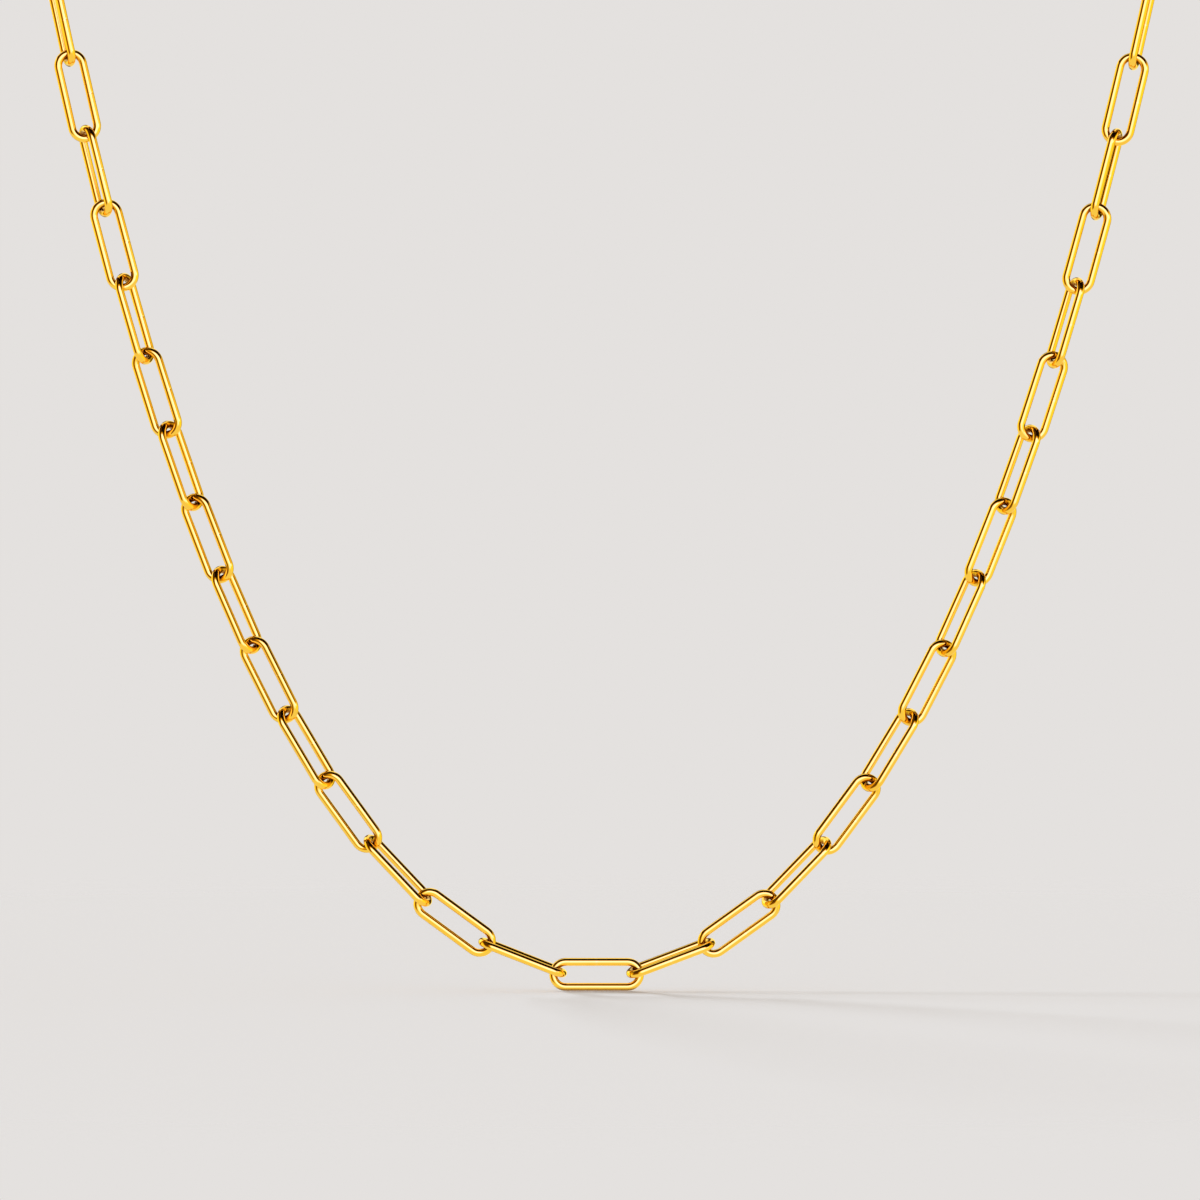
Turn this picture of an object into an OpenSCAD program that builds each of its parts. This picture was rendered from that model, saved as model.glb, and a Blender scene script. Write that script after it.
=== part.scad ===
// Paperclip chain necklace.
// Long oval wire links hang in a U in one upright front plane. On each side the back stretch
// climbs on, turns round the neck and ends at a ring, and a hook clasp closes the loop.
// The origin is the middle of the clasp, where the nape carries the necklace.
// X points to the right of someone who looks at the front, Y points back and Z points up.

/* [Links] */
// Outer length of one link
link_length = 8.9; // [8.2:0.1:10]
// Outer width of one link
link_width = 3.1; // [3:0.1:3.6]
// Diameter of the wire that the links are bent from
link_wire = 0.75; // [0.6:0.05:0.8]
// Clear gap where one link bears on the next
link_play = 0.15; // [0.14:0.01:0.2]

/* [Front hang] */
// Links on each side of the bottom link that hang in the front plane
front_links = 15; // [13:1:17]
// Radius of the hanging curve at the bottom link
bottom_radius = 20.6; // [19:0.1:23]
// Power that steepens the strands with height: 1 is a slack chain, less leans out further
steepening = 0.912; // [0.88:0.004:0.96]
// Degrees by which the right strand leans out further than the left
right_lean = 0.6; // [0:0.1:1.2]

/* [Back stretch] */
// Links on each side between the front plane and the clasp's ring
back_links = 18; // [17:1:20]
// Power that levels the strands out as they run back: more levels them sooner
levelling = 2.5; // [2.2:0.1:3]
// Power that turns the strands towards the nape: less turns them sooner
turning = 0.64; // [0.6:0.01:0.68]

/* [Clasp] */
// Overall length of the clasp
clasp_length = 10.5; // [9.5:0.1:12]
// Width of the clasp across its claw
clasp_width = 5.4; // [5:0.1:6]
// Thickness of the clasp
clasp_thickness = 1.9; // [1.5:0.1:2]
// Width of the metal round the claw's opening and the eye
clasp_rim = 1; // [0.8:0.05:1.1]
// Diameter of the hole in the clasp's eye
eye_hole = 1.8; // [1.7:0.1:2.1]
// How far the thumb piece stands out past the round of the eye
thumb_height = 0.7; // [0.4:0.1:1]

/* [Rings] */
// Outer diameter of the rings on both sides of the clasp
ring_outer = 4.4; // [4.2:0.1:5]
// Diameter of the rings' wire
ring_wire = 0.8; // [0.7:0.05:0.9]

/* [Hidden] */
$fn = 48;
LEFT = 0;
RIGHT = 1;

// Roll of the links about their own length in degrees, read at a few links
// A broad link at 0 faces the front, and more turns its inner wire forward
BROAD_ROLL = [
    // link, left strand, right strand
    [0, 0, 0],
    [4, 19, 23],
    [8, 25, 32],
    [10, 17, 17],
    [12, 2, 5],
    [14, -6, 0]
];
// A narrow link at 90 is seen edge-on, and more turns its outer wire forward
NARROW_ROLL = [
    // link, left strand, right strand
    [1, 93, 100],
    [3, 109, 116],
    [5, 129, 129],
    [9, 130, 128],
    [11, 119, 114],
    [13, 65, 72],
    [15, 72, 77]
];
// Turn of the back links about their own length between the front plane and the nape
BACK_ROLL = 90;
// Power that spreads this turn, so that no link twists against the next
ROLL_SPREAD = 4;

side_links = front_links + back_links;
end_radius = (link_width - link_wire) / 2;
wire_length = link_length - link_wire;
bearing_gap = link_wire + link_play;
link_pitch = wire_length - bearing_gap;

ring_radius = (ring_outer - ring_wire) / 2;
ring_gap = (link_wire + ring_wire) / 2 + link_play;
ring_reach = ring_radius - ring_gap / 2;
last_reach = wire_length / 2 - ring_gap / 2;
// The flat clasp bears on the inside of a ring with both edges of its rim
ring_inside = ring_radius - ring_wire / 2 - link_play;
rim_reach = sqrt(pow(ring_inside, 2) - pow(clasp_thickness / 2, 2));
rings_apart = clasp_length - 2 * clasp_rim + 2 * rim_reach;
closure = rings_apart + 2 * ring_reach;

claw_radius = clasp_width / 2;
eye_radius = eye_hole / 2 + clasp_rim;
claw_centre = clasp_length / 2 - claw_radius;
eye_centre = eye_radius - clasp_length / 2;
claw_hole = claw_radius - clasp_rim;
throat_hole = claw_hole / 2;
throat_centre = eye_centre + eye_radius + throat_hole;

function along(azimuth, elevation) = [
    cos(elevation) * cos(azimuth),
    cos(elevation) * sin(azimuth),
    sin(elevation)
];

function upward(azimuth, elevation) = [
    -sin(elevation) * cos(azimuth),
    -sin(elevation) * sin(azimuth),
    cos(elevation)
];

// The direction across a link's broad face
function across(turn) =
    let (up = upward(turn[0], turn[1]), out = cross(along(turn[0], turn[1]), up))
    cos(turn[2]) * up + sin(turn[2]) * out;

function swing_round(v, angle) = [
    v[0] * cos(angle) - v[1] * sin(angle),
    v[0] * sin(angle) + v[1] * cos(angle),
    v[2]
];

function column(table, side) = [for (row = table) [row[0], row[1 + side]]];

function lean(side) = (side == LEFT ? 1 : -1) * right_lean / 2;

function front_slope(k, side) =
    k == 0 ? 0 : atan(pow(k * link_pitch / bottom_radius, steepening)) + lean(side);

function front_roll(k, side) =
    lookup(k, column(k % 2 == 0 ? BROAD_ROLL : NARROW_ROLL, side));

// Azimuth, elevation and roll of a link, with the strand running up and away from the bottom
function front_turn(k, side) = [0, front_slope(k, side), front_roll(k, side)];

function back_turn(k, side) =
    let (share = (k - front_links - 0.5) / back_links)
    [
        180 * pow(share, turning),
        front_slope(front_links, side) * pow(1 - share, levelling),
        (k % 2 == 0 ? 0 : 90) - BACK_ROLL * (1 - pow(1 - share, ROLL_SPREAD))
    ];

function turns(side) = [
    for (k = [0:side_links]) k <= front_links ? front_turn(k, side) : back_turn(k, side)
];

// Distance between the wires' middles where two links bear on each other
// Links that aren't square to each other ride up on the round of their ends
function bearing(a, b) =
    let (skew = 1 - abs(across(a) * across(b)))
    skew > bearing_gap / end_radius
        ? bearing_gap
        : 2 * end_radius
            - sqrt((2 - skew) * (2 * pow(end_radius, 2) - pow(bearing_gap, 2) / skew));

// A link seen edge-on in a bend turns at its wire, and a broad one at its end's middle
function pivot_shift(a, b) =
    let (axis = cross(along(a[0], a[1]), along(b[0], b[1])))
    norm(axis) < 0.0001
        ? 0
        : (end_radius - bearing(a, b) / 2)
            * (pow(across(a) * axis, 2) - pow(across(b) * axis, 2)) / pow(norm(axis), 2);

function reach_up(a, b) = wire_length / 2 - bearing(a, b) / 2 + pivot_shift(a, b);
function reach_down(a, b) = wire_length / 2 - bearing(a, b) / 2 - pivot_shift(a, b);

// Steps from the middle of each link to the pivot above it, and from there to the next middle
function steps_up(t) = [
    for (k = [0:len(t) - 2]) along(t[k][0], t[k][1]) * reach_up(t[k], t[k + 1])
];
function steps_on(t) = [
    for (k = [0:len(t) - 2]) along(t[k + 1][0], t[k + 1][1]) * reach_down(t[k], t[k + 1])
];

function middles(t) =
    let (up = steps_up(t), on = steps_on(t), last = len(t) - 1)
    [
        for (k = 0, p = [0, 0, 0]; k <= last; p = k < last ? p + up[k] + on[k] : p, k = k + 1) p
    ];

// Last point of a strand, where it bears on its ring
function strand_end(t, m) =
    let (last = len(t) - 1)
    m[last] + along(t[last][0], t[last][1]) * last_reach;

// The back stretch swings about its first pivot until its end meets the clasp
function back_swing(pivot, end) =
    let (run = end - pivot)
    acos((closure / 2 - pivot[0]) / norm([run[0], run[1]])) - atan2(run[1], run[0]);

// Each link's middle and turn, and last the strand's end
function strand(side) =
    let (
        t = turns(side),
        m = middles(t),
        pivot = m[front_links] + steps_up(t)[front_links],
        end = strand_end(t, m),
        swing = back_swing(pivot, end)
    )
    concat(
        [for (k = [0:front_links]) [m[k], t[k]]],
        [
            for (k = [front_links + 1:side_links])
                [pivot + swing_round(m[k] - pivot, swing), t[k] + [swing, 0, 0]]
        ],
        [[pivot + swing_round(end - pivot, swing)]]
    );

// Both strands are laid out to the right, and the left one is mirrored where it is drawn
left_strand = strand(LEFT);
right_strand = strand(RIGHT);
left_end = left_strand[side_links + 1][0];
right_end = right_strand[side_links + 1][0];
nape = [0, (left_end[1] + right_end[1]) / 2, (left_end[2] + right_end[2]) / 2];
clasp_yaw = atan2(right_end[1] - left_end[1], closure);
clasp_pitch = atan2(right_end[2] - left_end[2], closure);
// The rings lie square to the last links, and the clasp lies square to the rings
clasp_roll = side_links % 2 == 0 ? 90 : 0;

// One link along X, with its broad face in the XZ plane
module link() {
    straight = wire_length - 2 * end_radius;
    for (side = [-1, 1]) {
        translate([-straight / 2, 0, side * end_radius])
            rotate([0, 90, 0])
                cylinder(h = straight, d = link_wire);
        translate([side * straight / 2, 0, 0])
            rotate([90, 0, 0])
                rotate([0, 0, -side * 90])
                    rotate_extrude(angle = 180)
                        translate([end_radius, 0])
                            circle(d = link_wire);
    }
}

module links(laid, first) {
    for (k = [first:side_links])
        translate(laid[k][0] - nape)
            rotate([laid[k][1][2], -laid[k][1][1], laid[k][1][0]])
                link();
}

// Draws its children along the line between the strands' ends, with X from left to right
module along_clasp() {
    rotate([clasp_roll, -clasp_pitch, clasp_yaw])
        children();
}

module ring() {
    rotate_extrude()
        translate([ring_radius, 0])
            circle(d = ring_wire);
}

// Outline round two circles on the X axis and the straight sides that touch both
module egg(large_centre, large_radius, small_centre, small_radius) {
    apart = large_centre - small_centre;
    tilt = acos((large_radius - small_radius) / apart);
    touch = [-cos(tilt), sin(tilt)];
    mirrored = [-cos(tilt), -sin(tilt)];
    translate([large_centre, 0])
        circle(r = large_radius);
    translate([small_centre, 0])
        circle(r = small_radius);
    polygon([
        [large_centre, 0] + large_radius * touch,
        [small_centre, 0] + small_radius * touch,
        [small_centre, 0] + small_radius * mirrored,
        [large_centre, 0] + large_radius * mirrored
    ]);
}

module left_chain() {
    color("gold")
        mirror([1, 0, 0])
            links(left_strand, 1);
}

// The bottom link belongs to this strand
module right_chain() {
    color("gold")
        links(right_strand, 0);
}

module clasp() {
    color("goldenrod")
        along_clasp()
            rotate([90, 0, 0])
                linear_extrude(clasp_thickness, center = true)
                    difference() {
                        union() {
                            egg(claw_centre, claw_radius, eye_centre, eye_radius);
                            translate([eye_centre + eye_radius, thumb_height])
                                circle(r = eye_radius);
                        }
                        egg(claw_centre, claw_hole, throat_centre, throat_hole);
                        translate([eye_centre, 0])
                            circle(d = eye_hole);
                    }
}

module clasp_ring() {
    color("gold")
        along_clasp()
            translate([ring_reach - closure / 2, 0, 0])
                ring();
}

module end_ring() {
    color("gold")
        along_clasp()
            translate([closure / 2 - ring_reach, 0, 0])
                ring();
}

left_chain();
right_chain();
clasp();
clasp_ring();
end_ring();
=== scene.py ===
import math

import bmesh
import bpy
import numpy as np
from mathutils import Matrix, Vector


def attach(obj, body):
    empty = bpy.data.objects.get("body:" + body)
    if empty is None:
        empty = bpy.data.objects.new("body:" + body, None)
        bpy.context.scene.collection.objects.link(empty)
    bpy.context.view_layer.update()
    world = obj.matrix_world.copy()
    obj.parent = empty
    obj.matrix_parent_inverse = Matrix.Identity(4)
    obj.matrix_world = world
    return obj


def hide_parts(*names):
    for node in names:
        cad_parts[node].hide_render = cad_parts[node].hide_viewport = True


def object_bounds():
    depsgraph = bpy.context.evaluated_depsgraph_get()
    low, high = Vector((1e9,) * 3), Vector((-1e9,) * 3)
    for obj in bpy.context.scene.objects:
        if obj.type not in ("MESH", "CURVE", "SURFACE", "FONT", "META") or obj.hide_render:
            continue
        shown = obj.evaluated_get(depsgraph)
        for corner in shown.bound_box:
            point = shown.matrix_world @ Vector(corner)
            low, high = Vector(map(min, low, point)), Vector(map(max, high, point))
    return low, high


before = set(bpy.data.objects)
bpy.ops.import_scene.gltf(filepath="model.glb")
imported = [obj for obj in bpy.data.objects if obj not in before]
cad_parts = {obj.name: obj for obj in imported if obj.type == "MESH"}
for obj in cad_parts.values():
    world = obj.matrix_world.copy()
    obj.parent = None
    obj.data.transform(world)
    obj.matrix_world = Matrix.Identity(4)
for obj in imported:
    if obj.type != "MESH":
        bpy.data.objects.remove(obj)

MM = 0.001
CAD_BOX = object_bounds()

# Camera: the photograph's frame is 112.7 mm wide at the hanging links
PHOTO_WIDTH = 112.65 * MM
BOTTOM_LINK_RIGHT_OF_MIDDLE = -0.32 * MM
BOTTOM_LINK_BELOW_MIDDLE = 35.2 * MM
CAMERA_DISTANCE = 1200 * MM
CAMERA_ELEVATION = 2.0
LENS = 100.0
CLIP_START = 0.01
CLIP_END = 100

# Fineness of the meshes
WIRE_SIDES = 32
BEND_STEPS = 24
RING_STEPS = 72
CLASP_ROUND_STEPS = 4
FLOOR_SIDES = 96

# Distances at which corners of the CAD meshes count as one
WIRE_GRAIN = 0.0001 * MM
CLASP_GRAIN = 0.001 * MM

# Solder joint half way along one side of each link, with mesh steps counted in its widths
SEAM_DEPTH = 0.005 * MM
SEAM_WIDTH = 0.05 * MM
SEAM_STEPS = (-8, -3, -1.5, -0.75, 0, 0.75, 1.5, 3, 8)
SEAM_PALE_WIDTH = 2 * SEAM_WIDTH

# Rounding of the clasp's sharp edges, and the angle under which its facets count as one flat
CLASP_ROUND = 0.3 * MM
CLASP_SHARP_ANGLE = math.radians(35)
CLASP_FLAT_ANGLE = math.radians(1)

# The floor lies just under the bottom link, and fades into the backdrop away from the necklace
FLOOR_GAP = 0.05 * MM
FLOOR_RADIUS = 0.2
FLOOR_FADE_START = 0.12
FIBRE_LENGTH = 0.6 * MM
FIBRE_SHADE = 0.99

# Pale warm grey of the backdrop, as linear colour
BACKDROP = (0.776, 0.753, 0.737)

# Gold, its deeper patches, the paler solder and the painted shade of the joints, as linear colours
GOLD_COLOUR = (1.0, 0.63, 0.08)
DEEP_GOLD = (1.0, 0.59, 0.065)
SOLDER = (1.0, 0.7, 0.2)
PAINTED_JOINT_SHADE = (0.2, 0.06, 0.008)

# Surface of the gold: roughness of the polish, its lines and its seams, and sizes of its marks
POLISH = 0.01
LINE_ROUGHNESS = 0.05
SEAM_ROUGHNESS = 0.1
PATCH_LENGTH = 6 * MM
LINE_LENGTH = 3 * MM
LINE_WIDTH = 0.06 * MM
WAVE_LENGTH = 1.6 * MM
WAVE_HEIGHT = 0.004 * MM

# Shift of the drawn lines from each link to the next, in the millimetres of the UV map
LINE_SHIFT = 20

# Noise values between which patches, fibres and lines come up, and the detail of each noise
NOISE_RANGE = (0.3, 0.7)
LINE_RANGE = (0.3, 0.75)
MARK_DETAIL = 2.0
WAVE_DETAIL = 1.0

# Share of solder in the seam's colour, and of painted shade in a joint, which grows as its openness
# under ambient occlusion falls
SEAM_SHARE = 0.3
JOINT_SHADE_SHARE = 0.95
JOINT_SHADE_OPENNESS = (0.2, 0.75)
JOINT_SHADE_REACH = 0.7 * MM
JOINT_SHADE_SAMPLES = 8

# Studio that the gold reflects: a warm room, pale boxes, cool boxes, amber edges and brown cards,
# each over those before. Azimuth 0 is the camera's side, 90 the right, and angles are in degrees
COOL = (0.82, 0.86, 3.0)
PALE = (1.0, 0.98, 0.85)
WARM = (1.0, 0.93, 0.2)
AMBER = (1.0, 0.62, 0.04)
BROWN = (1.0, 0.45, 0.03)
ROOM_LIGHT = 1.22
PANEL_COLUMNS = ("azimuth", "elevation", "half_width", "half_height", "soft", "light")
PALE_BOXES = {
    "back_box": (180, 50, 45, 24, 16, 1.2),
    "key_box": (-128, 30, 14, 16, 14, 1.8),
    "under_box": (0, -90, 66, 66, 20, 0.95),
}
COOL_BOXES = {
    "front_box": (8, 17, 28, 20, 12, 2.4),
    "right_box": (40, 12, 24, 13, 12, 2.4),
    "low_box": (14, -8, 20, 10, 12, 1.8),
}
EDGES = {
    "ceiling_edge": (0, 70, 68, 38, 10, 0.85),
    "left_edge": (-56, 24, 33, 50, 10, 0.9),
    "right_edge": (72, 40, 36, 22, 10, 0.8),
}
CARDS = {
    "ceiling": (0, 74, 64, 32, 10, 0.004),
    "left_card": (-56, 28, 23, 36, 14, 0.08),
    "left_low": (-52, -14, 22, 14, 14, 0.25),
    "right_card": (70, 42, 28, 15, 12, 0.01),
    "rear_right": (135, 20, 14, 40, 14, 0.05),
    "rear_left": (-168, 5, 10, 40, 12, 0.1),
}
STUDIO = ((PALE, PALE_BOXES), (COOL, COOL_BOXES), (AMBER, EDGES), (BROWN, CARDS))

# Lamps for the shadow, which the gold does not reflect, with angles in degrees
LAMP_COLOUR = (0.85, 1.0, 1.2)
LAMPS = {
    "side_lamp": {"azimuth": -98, "elevation": 14, "softness": 14, "power": 2.6},
    "rear_lamp": {"azimuth": -150, "elevation": 11, "softness": 16, "power": 6.0},
}


def loose_parts(node):
    """Corners of the triangles of each loose solid in a CAD node."""
    mesh = node.data
    mesh.calc_loop_triangles()
    points = np.empty(len(mesh.vertices) * 3)
    mesh.vertices.foreach_get("co", points)
    triangles = np.empty(len(mesh.loop_triangles) * 3, np.int64)
    mesh.loop_triangles.foreach_get("vertices", triangles)
    places = np.round(points.reshape(-1, 3) / WIRE_GRAIN).astype(np.int64)
    _, first, merged = np.unique(places, axis=0, return_index=True, return_inverse=True)
    points = points.reshape(-1, 3)[first]
    triangles = merged.ravel()[triangles].reshape(-1, 3)
    part = np.arange(len(points))
    while True:
        lowest = part.copy()
        for a, b in ((0, 1), (1, 2), (2, 0)):
            least = np.minimum(part[triangles[:, a]], part[triangles[:, b]])
            np.minimum.at(lowest, triangles[:, a], least)
            np.minimum.at(lowest, triangles[:, b], least)
        lowest = lowest[lowest]
        if (lowest == part).all():
            break
        part = lowest
    return [points[triangles[part[triangles[:, 0]] == n]] for n in np.unique(part)]


def solid_axes(triangles):
    """Centre of a solid, and its axes from the longest to the shortest, one in each row."""
    a, b, c = triangles[:, 0], triangles[:, 1], triangles[:, 2]
    volumes = np.einsum("ij,ij->i", a, np.cross(b, c)) / 6
    centre = ((a + b + c) / 4 * volumes[:, None]).sum(0) / volumes.sum()
    a, b, c = a - centre, b - centre, c - centre
    volumes = np.einsum("ij,ij->i", a, np.cross(b, c)) / 6
    total = a + b + c
    spread = sum(np.einsum("i,ij,ik->jk", volumes, p, p) for p in (a, b, c, total)) / 20
    _, axes = np.linalg.eigh(spread)
    return centre, axes.T[::-1]


class Wirework:
    """Place and size of a bent wire: a link, or a ring, which has no straight sides."""

    def __init__(self, triangles):
        self.centre, (self.along, self.across, _) = solid_axes(triangles)
        if self.along[2] < 0:
            self.along = -self.along
        self.normal = np.cross(self.across, self.along)
        if self.normal[1] > 0:
            self.normal = -self.normal
            self.across = -self.across
        corners = triangles.reshape(-1, 3) - self.centre
        self.length = np.ptp(corners @ self.along)
        self.width = np.ptp(corners @ self.across)
        self.wire = np.ptp(corners @ self.normal)
        self.bend = (self.width - self.wire) / 2
        extra = self.length - self.width
        self.straight = extra if extra > self.wire else 0

    def stations(self):
        """Steps round the wire: place on its middle line, outward direction, distance from the seam."""
        out = []
        half = self.straight / 2
        for side in (1, -1):
            if half > 0:
                for step in SEAM_STEPS:
                    place = step * SEAM_WIDTH
                    seam = abs(place) if side == 1 else None
                    out.append((place * side, self.bend * side, 0, side, seam))
            steps = BEND_STEPS if half > 0 else RING_STEPS // 2
            for step in range(steps + 1 if half > 0 else steps):
                turn = math.pi * step / steps
                lean = math.sin(turn)
                rise = math.cos(turn) * side
                out.append((side * (half + self.bend * lean), self.bend * rise, side * lean, rise, None))
        return out


def seam_share(distance, width):
    """1 at the seam and falling to 0 away from it, or 0 where no seam is near."""
    return 0.0 if distance is None else math.exp(-(distance / width) ** 2)


def wire_rings(work):
    """Each ring of points round the wire, the distance along it, and the seam's share there."""
    rings = []
    run = 0.0
    last = None
    for x, z, out_x, out_z, seam in work.stations():
        radius = work.wire / 2 - SEAM_DEPTH * seam_share(seam, SEAM_WIDTH)
        if last is not None:
            run += math.dist((x, z), last)
        last = (x, z)
        middle = work.centre + x * work.along + z * work.across
        outward = out_x * work.along + out_z * work.across
        ring = []
        for step in range(WIRE_SIDES):
            turn = 2 * math.pi * step / WIRE_SIDES
            ring.append(middle + radius * (math.cos(turn) * outward + math.sin(turn) * work.normal))
        rings.append((ring, run, seam_share(seam, SEAM_PALE_WIDTH)))
    return rings


def add_tube(bm, work, shift):
    """A closed tube along the wire, with its UV map shifted along the wire."""
    uv = bm.loops.layers.uv["wire"]
    seam_layer = bm.verts.layers.float["seam"]
    around = math.pi * work.wire / MM
    rings = wire_rings(work)
    rows = []
    for ring, _, seam in rings:
        row = [bm.verts.new(point) for point in ring]
        for vert in row:
            vert[seam_layer] = seam
        rows.append(row)
    for here, (ring, low, _) in enumerate(rings):
        after = (here + 1) % len(rings)
        high = rings[after][1] if after else low + math.dist(ring[0], rings[0][0][0])
        runs = (low, low, high, high)
        for side in range(WIRE_SIDES):
            beside = (side + 1) % WIRE_SIDES
            corners = (rows[here][side], rows[here][beside], rows[after][beside], rows[after][side])
            face = bm.faces.new(corners)
            face.smooth = True
            turns = (side, side + 1, side + 1, side)
            for loop, turn, run in zip(face.loops, turns, runs):
                loop[uv].uv = (run / MM + shift, turn / WIRE_SIDES * around)


def plain_mesh(name, bm):
    """Mesh of a bmesh."""
    mesh = bpy.data.meshes.new(name)
    bm.to_mesh(mesh)
    bm.free()
    return mesh


def steady_mesh(name, bm):
    """Smooth mesh of a bmesh, with its points and faces in an order that is the same each run."""
    points = sorted(bm.verts, key=lambda vert: tuple(vert.co))
    for index, vert in enumerate(points):
        vert.index = index
    faces = sorted([vert.index for vert in face.verts] for face in bm.faces)
    mesh = bpy.data.meshes.new(name)
    mesh.from_pydata([vert.co for vert in points], [], faces)
    mesh.shade_smooth()
    bm.free()
    return mesh


def placed(name, mesh):
    """Object that shows a mesh, put in the scene."""
    thing = bpy.data.objects.new(name, mesh)
    bpy.context.scene.collection.objects.link(thing)
    return thing


def wire_piece(name, works):
    """One piece of smooth closed tubes, with the distance along and round the wire as its UV map."""
    bm = bmesh.new()
    bm.loops.layers.uv.new("wire")
    bm.verts.layers.float.new("seam")
    for number, work in enumerate(works):
        add_tube(bm, work, LINE_SHIFT * number)
    bmesh.ops.recalc_face_normals(bm, faces=bm.faces)
    return placed(name, plain_mesh(name, bm))


def rebuilt_wires(node_name, piece_name):
    """Smooth wires in place of a node's own, and the place and size of each."""
    parts = loose_parts(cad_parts[node_name])
    works = [Wirework(triangles) for triangles in parts]
    piece = wire_piece(piece_name, works)
    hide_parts(node_name)
    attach(piece, "root")
    return piece, works


def rounded_clasp():
    """The CAD clasp's own form, with its sharp edges rounded."""
    bm = bmesh.new()
    bm.from_mesh(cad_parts["clasp"].data)
    bmesh.ops.remove_doubles(bm, verts=bm.verts, dist=CLASP_GRAIN)
    bmesh.ops.dissolve_limit(bm, angle_limit=CLASP_FLAT_ANGLE, verts=bm.verts, edges=bm.edges)
    sharp = [edge for edge in bm.edges if edge.calc_face_angle(0) > CLASP_SHARP_ANGLE]
    bmesh.ops.bevel(
        bm,
        geom=sharp,
        offset=CLASP_ROUND,
        segments=CLASP_ROUND_STEPS,
        profile=0.5,
        affect="EDGES",
        clamp_overlap=True,
    )
    bmesh.ops.triangulate(bm, faces=[face for face in bm.faces if len(face.verts) > 4])
    bmesh.ops.recalc_face_normals(bm, faces=bm.faces)
    mesh = steady_mesh("clasp_body", bm)
    mesh.set_sharp_from_angle(angle=CLASP_SHARP_ANGLE)
    clasp = placed("clasp_body", mesh)
    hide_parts("clasp")
    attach(clasp, "root")
    return clasp


def new_material(name):
    """Material with an empty node tree, and that tree."""
    material = bpy.data.materials.new(name)
    material.use_nodes = True
    material.node_tree.nodes.clear()
    return material, material.node_tree


def feed(tree, value, socket):
    """Link a socket, or set a plain value."""
    if isinstance(value, bpy.types.NodeSocket):
        tree.links.new(value, socket)
    else:
        socket.default_value = value


def maths(tree, operation, first, second=None):
    """A Math node, with sockets or numbers as its inputs."""
    node = tree.nodes.new("ShaderNodeMath")
    node.operation = operation
    feed(tree, first, node.inputs[0])
    if second is not None:
        feed(tree, second, node.inputs[1])
    return node.outputs[0]


def remap(tree, value, low, high, to_low=0.0, to_high=1.0):
    """A value carried smoothly from one range to another."""
    node = tree.nodes.new("ShaderNodeMapRange")
    node.interpolation_type = "SMOOTHSTEP"
    tree.links.new(value, node.inputs["Value"])
    node.inputs["From Min"].default_value = low
    node.inputs["From Max"].default_value = high
    node.inputs["To Min"].default_value = to_low
    node.inputs["To Max"].default_value = to_high
    return node.outputs["Result"]


def blend(tree, share, first, second):
    """Two colours mixed by a share from 0 to 1."""
    node = tree.nodes.new("ShaderNodeMix")
    node.data_type = "RGBA"
    feed(tree, share, node.inputs["Factor"])
    feed(tree, first, node.inputs["A"])
    feed(tree, second, node.inputs["B"])
    return node.outputs["Result"]


def noise(tree, place, stretch, detail=MARK_DETAIL):
    """Noise over a place, with the number of waves in a unit along each axis."""
    mapping = tree.nodes.new("ShaderNodeMapping")
    mapping.inputs["Scale"].default_value = stretch
    tree.links.new(place, mapping.inputs["Vector"])
    node = tree.nodes.new("ShaderNodeTexNoise")
    node.inputs["Scale"].default_value = 1.0
    node.inputs["Detail"].default_value = detail
    tree.links.new(mapping.outputs["Vector"], node.inputs["Vector"])
    return node.outputs["Fac"]


def even(length):
    """Waves in a metre, the same along each axis, of a wave of this length."""
    return (1 / length, 1 / length, 1 / length)


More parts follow.
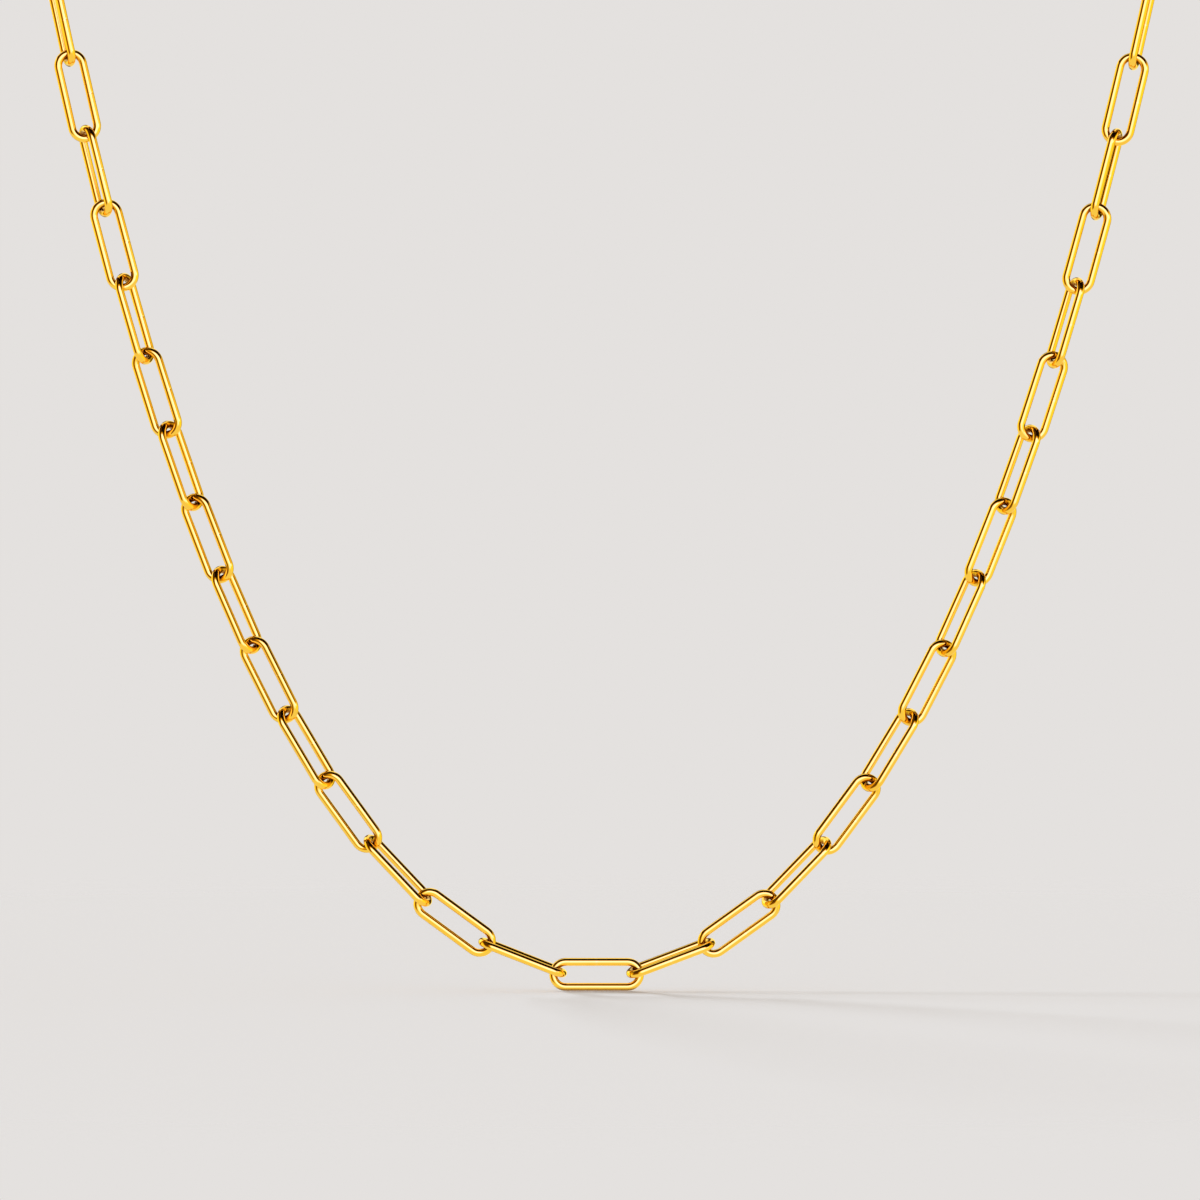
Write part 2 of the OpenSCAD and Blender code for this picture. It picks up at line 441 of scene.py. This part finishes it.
def gold(name, drawn):
    """Polished gold: an uneven polish, fine lines, and painted shade in the joints, brown where ambient
    occlusion finds wire close by.

    Drawn wire has its lines along it and a paler solder joint, by its mesh's UV map and seam layer.
    """
    material, tree = new_material(name)
    output = tree.nodes.new("ShaderNodeOutputMaterial")
    shader = tree.nodes.new("ShaderNodeBsdfPrincipled")
    shader.inputs["Metallic"].default_value = 1.0
    place = tree.nodes.new("ShaderNodeTexCoord").outputs["Object"]

    patches = remap(tree, noise(tree, place, even(PATCH_LENGTH)), *NOISE_RANGE)
    colour = blend(tree, patches, (*GOLD_COLOUR, 1), (*DEEP_GOLD, 1))
    if drawn:
        along = tree.nodes.new("ShaderNodeUVMap")
        along.uv_map = "wire"
        lines = noise(tree, along.outputs["UV"], (MM / LINE_LENGTH, MM / LINE_WIDTH, 1))
        seam = tree.nodes.new("ShaderNodeAttribute")
        seam.attribute_name = "seam"
        solder = maths(tree, "MULTIPLY", seam.outputs["Fac"], SEAM_SHARE)
        colour = blend(tree, solder, colour, (*SOLDER, 1))
    else:
        lines = noise(tree, place, (1 / LINE_WIDTH, 1 / LINE_WIDTH, 1 / LINE_LENGTH))
    roughness = remap(tree, lines, *LINE_RANGE, POLISH, LINE_ROUGHNESS)
    if drawn:
        rough_seam = maths(tree, "MULTIPLY", seam.outputs["Fac"], SEAM_ROUGHNESS)
        roughness = maths(tree, "ADD", roughness, rough_seam)

    # Painted shade: ambient occlusion darkens the gold towards brown where wires close in at the joints
    joints = tree.nodes.new("ShaderNodeAmbientOcclusion")
    joints.samples = JOINT_SHADE_SAMPLES
    joints.inputs["Distance"].default_value = JOINT_SHADE_REACH
    shade = remap(tree, joints.outputs["AO"], *JOINT_SHADE_OPENNESS, JOINT_SHADE_SHARE, 0.0)
    colour = blend(tree, shade, colour, (*PAINTED_JOINT_SHADE, 1))

    waves = tree.nodes.new("ShaderNodeBump")
    waves.inputs["Distance"].default_value = WAVE_HEIGHT
    tree.links.new(noise(tree, place, even(WAVE_LENGTH), WAVE_DETAIL), waves.inputs["Height"])
    tree.links.new(colour, shader.inputs["Base Color"])
    tree.links.new(roughness, shader.inputs["Roughness"])
    tree.links.new(waves.outputs["Normal"], shader.inputs["Normal"])
    tree.links.new(shader.outputs["BSDF"], output.inputs["Surface"])
    return material


def dress(piece, material):
    """Give a piece its one material."""
    piece.data.materials.clear()
    piece.data.materials.append(material)


def towards(panel):
    """Unit vector towards a panel or lamp."""
    azimuth = math.radians(panel["azimuth"])
    elevation = math.radians(panel["elevation"])
    level = math.cos(elevation)
    return Vector((math.sin(azimuth) * level, -math.cos(azimuth) * level, math.sin(elevation)))


def matching_paper():
    """Colour that shows the floor as bright as the backdrop, under its light and the lamps'."""
    lamps = sum(lamp["power"] * towards(lamp).z / math.pi for lamp in LAMPS.values())
    return [back / (back + lamps * tint) for back, tint in zip(BACKDROP, LAMP_COLOUR)]


def floor_paper():
    """Pale paper with faint fibres, clear towards the floor's rim."""
    material, tree = new_material("floor_paper")
    output = tree.nodes.new("ShaderNodeOutputMaterial")
    paper = tree.nodes.new("ShaderNodeBsdfDiffuse")
    place = tree.nodes.new("ShaderNodeTexCoord").outputs["Object"]
    fibres = remap(tree, noise(tree, place, even(FIBRE_LENGTH)), *NOISE_RANGE)
    pale = matching_paper()
    darker = [share * FIBRE_SHADE for share in pale]
    tree.links.new(blend(tree, fibres, (*pale, 1), (*darker, 1)), paper.inputs["Color"])
    clear = tree.nodes.new("ShaderNodeBsdfTransparent")
    distance = tree.nodes.new("ShaderNodeVectorMath")
    distance.operation = "LENGTH"
    tree.links.new(place, distance.inputs[0])
    mix = tree.nodes.new("ShaderNodeMixShader")
    fade = remap(tree, distance.outputs["Value"], FLOOR_FADE_START, FLOOR_RADIUS)
    tree.links.new(fade, mix.inputs["Fac"])
    tree.links.new(paper.outputs["BSDF"], mix.inputs[1])
    tree.links.new(clear.outputs["BSDF"], mix.inputs[2])
    tree.links.new(mix.outputs["Shader"], output.inputs["Surface"])
    return material


def lay_floor(middle, height):
    """Round floor under the necklace, out of its reflections, which show the box under it instead."""
    bm = bmesh.new()
    bmesh.ops.create_circle(bm, cap_ends=True, segments=FLOOR_SIDES, radius=FLOOR_RADIUS)
    floor = placed("floor", plain_mesh("floor", bm))
    floor.location = (middle.x, middle.y, height)
    dress(floor, floor_paper())
    floor.visible_glossy = False


def hang_lamps():
    """Lamps from the left and behind that throw the necklace's soft shadow on the floor."""
    for name, lamp in LAMPS.items():
        data = bpy.data.lights.new(name, "SUN")
        data.energy = lamp["power"]
        data.color = LAMP_COLOUR
        data.angle = math.radians(lamp["softness"])
        light = bpy.data.objects.new(name, data)
        light.rotation_mode = "QUATERNION"
        light.rotation_quaternion = towards(lamp).to_track_quat("Z", "Y")
        light.visible_glossy = False
        bpy.context.scene.collection.objects.link(light)


def along_axis(tree, direction, axis):
    """How far a direction goes along an axis."""
    node = tree.nodes.new("ShaderNodeVectorMath")
    node.operation = "DOT_PRODUCT"
    tree.links.new(direction, node.inputs[0])
    node.inputs[1].default_value = axis
    return node.outputs["Value"]


def soft_edge(tree, angle, half, soft):
    """1 within half of the middle, falling to 0 over the soft edge."""
    away = maths(tree, "ABSOLUTE", angle)
    return remap(tree, away, math.radians(half - soft / 2), math.radians(half + soft / 2), 1.0, 0.0)


def panel_mask(tree, direction, panel):
    """Share of a panel in a direction."""
    azimuth = math.radians(panel["azimuth"])
    forward = towards(panel)
    across = Vector((math.cos(azimuth), math.sin(azimuth), 0))
    x = along_axis(tree, direction, across)
    y = along_axis(tree, direction, across.cross(forward))
    z = along_axis(tree, direction, forward)
    sideways = maths(tree, "ARCTAN2", x, z)
    upwards = maths(tree, "ARCSINE", y)
    wide = soft_edge(tree, sideways, panel["half_width"], panel["soft"])
    high = soft_edge(tree, upwards, panel["half_height"], panel["soft"])
    return maths(tree, "MULTIPLY", wide, high)


def studio_light(tree):
    """Light from each direction of the studio, with the panels one over another."""
    direction = tree.nodes.new("ShaderNodeTexCoord").outputs["Generated"]
    light = (*(ROOM_LIGHT * share for share in WARM), 1)
    for tint, panels in STUDIO:
        for row in panels.values():
            panel = dict(zip(PANEL_COLUMNS, row))
            colour = (*(panel["light"] * share for share in tint), 1)
            light = blend(tree, panel_mask(tree, direction, panel), light, colour)
    return light


def light_world():
    """The studio all round in the reflections, and a plain backdrop to the camera and the floor."""
    world = bpy.data.worlds.new("studio")
    bpy.context.scene.world = world
    world.use_nodes = True
    tree = world.node_tree
    tree.nodes.clear()
    output = tree.nodes.new("ShaderNodeOutputWorld")
    studio = tree.nodes.new("ShaderNodeBackground")
    tree.links.new(studio_light(tree), studio.inputs["Color"])
    backdrop = tree.nodes.new("ShaderNodeBackground")
    backdrop.inputs["Color"].default_value = (*BACKDROP, 1)
    path = tree.nodes.new("ShaderNodeLightPath")
    mix = tree.nodes.new("ShaderNodeMixShader")
    tree.links.new(path.outputs["Is Glossy Ray"], mix.inputs["Fac"])
    tree.links.new(backdrop.outputs["Background"], mix.inputs[1])
    tree.links.new(studio.outputs["Background"], mix.inputs[2])
    tree.links.new(mix.outputs["Shader"], output.inputs["Surface"])


def place_camera(bottom):
    """Camera at the photograph's viewing angle, aimed at the middle of its frame."""
    to_middle = Vector((-BOTTOM_LINK_RIGHT_OF_MIDDLE, 0, BOTTOM_LINK_BELOW_MIDDLE))
    rise = math.radians(CAMERA_ELEVATION)
    back = Vector((0, -math.cos(rise), math.sin(rise)))
    data = bpy.data.cameras.new("camera")
    data.lens = LENS
    data.sensor_width = LENS * PHOTO_WIDTH / CAMERA_DISTANCE
    data.clip_start = CLIP_START
    data.clip_end = CLIP_END
    camera = bpy.data.objects.new("camera", data)
    camera.location = Vector(bottom.centre) + to_middle + back * CAMERA_DISTANCE
    camera.rotation_mode = "QUATERNION"
    camera.rotation_quaternion = (-back).to_track_quat("-Z", "Y")
    bpy.context.scene.collection.objects.link(camera)
    bpy.context.scene.camera = camera


link_gold = gold("link_gold", True)
clasp_gold = gold("clasp_gold", False)
right_chain, right_links = rebuilt_wires("right_chain", "right_links")
left_chain, _ = rebuilt_wires("left_chain", "left_links")
for name in ("clasp_ring", "end_ring"):
    ring, _ = rebuilt_wires(name, name + "_wire")
    dress(ring, link_gold)
dress(right_chain, link_gold)
dress(left_chain, link_gold)
dress(rounded_clasp(), clasp_gold)

bottom_link = min(right_links, key=lambda work: work.centre[2])
lowest = min(bottom_link.centre[2] - bottom_link.width / 2, CAD_BOX[0].z)
lay_floor(Vector(bottom_link.centre), lowest - FLOOR_GAP)
light_world()
hang_lamps()
place_camera(bottom_link)
bpy.context.scene.view_settings.view_transform = "Standard"
